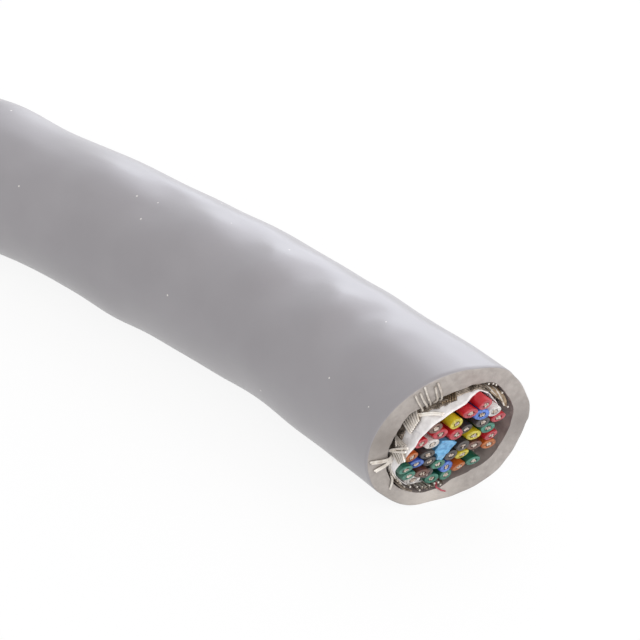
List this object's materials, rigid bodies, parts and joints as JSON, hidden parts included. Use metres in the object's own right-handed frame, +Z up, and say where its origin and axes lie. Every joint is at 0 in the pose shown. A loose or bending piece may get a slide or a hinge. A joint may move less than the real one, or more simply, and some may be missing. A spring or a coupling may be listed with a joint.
{
  "type": "shielded multi-pair cable",
  "caption": "Short cut length of round grey-jacketed multi-pair cable, gently bent, with braid shield, binder tape and colour-coded wires showing at a slanted cut.",
  "frame": {"origin": "on the floor under the middle of the part's box", "axes": "+X along the straight tail, towards the slanted cut; +Y away from the side the cable bends to; +Z up"},
  "size_m": [0.093, 0.0214, 0.0138],
  "materials": {
    "jacket_pvc": "satin grey PVC, extruded, with a dry cut face",
    "braid_tinned_copper": "drawn tinned copper strands",
    "tape_polyester": "white binder tape",
    "filler_polypropylene": "fibrillated light-blue filler",
    "cord_nylon": "red thread",
    "conductor_tinned_copper": "cut tinned copper strands",
    "insulation_black": "black PVC, extruded",
    "insulation_red": "red PVC, extruded",
    "insulation_white": "white PVC, extruded",
    "insulation_green": "green PVC, extruded",
    "insulation_blue": "blue PVC, extruded",
    "insulation_yellow": "yellow PVC, extruded",
    "insulation_brown": "brown PVC, extruded",
    "insulation_orange": "orange PVC, extruded"
  },
  "bodies": {
    "root": {"jacket": "jacket_pvc", "braid_shield": "braid_tinned_copper", "binder_tape": "tape_polyester", "centre_filler": "filler_polypropylene", "rip_cord": "cord_nylon", "pair_01_black": "insulation_black", "pair_01_red": "insulation_red", "pair_01_conductors": "conductor_tinned_copper", "pair_02_black": "insulation_black", "pair_02_white": "insulation_white", "pair_02_conductors": "conductor_tinned_copper", "pair_03_black": "insulation_black", "pair_03_green": "insulation_green", "pair_03_conductors": "conductor_tinned_copper", "pair_04_black": "insulation_black", "pair_04_blue": "insulation_blue", "pair_04_conductors": "conductor_tinned_copper", "pair_05_black": "insulation_black", "pair_05_yellow": "insulation_yellow", "pair_05_conductors": "conductor_tinned_copper", "pair_06_black": "insulation_black", "pair_06_brown": "insulation_brown", "pair_06_conductors": "conductor_tinned_copper", "pair_07_black": "insulation_black", "pair_07_orange": "insulation_orange", "pair_07_conductors": "conductor_tinned_copper", "pair_08_red": "insulation_red", "pair_08_white": "insulation_white", "pair_08_conductors": "conductor_tinned_copper", "pair_09_red": "insulation_red", "pair_09_green": "insulation_green", "pair_09_conductors": "conductor_tinned_copper", "pair_10_red": "insulation_red", "pair_10_blue": "insulation_blue", "pair_10_conductors": "conductor_tinned_copper", "pair_11_red": "insulation_red", "pair_11_yellow": "insulation_yellow", "pair_11_conductors": "conductor_tinned_copper", "pair_12_red": "insulation_red", "pair_12_brown": "insulation_brown", "pair_12_conductors": "conductor_tinned_copper", "pair_13_red": "insulation_red", "pair_13_orange": "insulation_orange", "pair_13_conductors": "conductor_tinned_copper", "pair_14_green": "insulation_green", "pair_14_white": "insulation_white", "pair_14_conductors": "conductor_tinned_copper", "pair_15_green": "insulation_green", "pair_15_blue": "insulation_blue", "pair_15_conductors": "conductor_tinned_copper", "pair_16_green": "insulation_green", "pair_16_yellow": "insulation_yellow", "pair_16_conductors": "conductor_tinned_copper", "pair_17_green": "insulation_green", "pair_17_brown": "insulation_brown", "pair_17_conductors": "conductor_tinned_copper", "pair_18_green": "insulation_green", "pair_18_orange": "insulation_orange", "pair_18_conductors": "conductor_tinned_copper"}
  },
  "joints": []
}
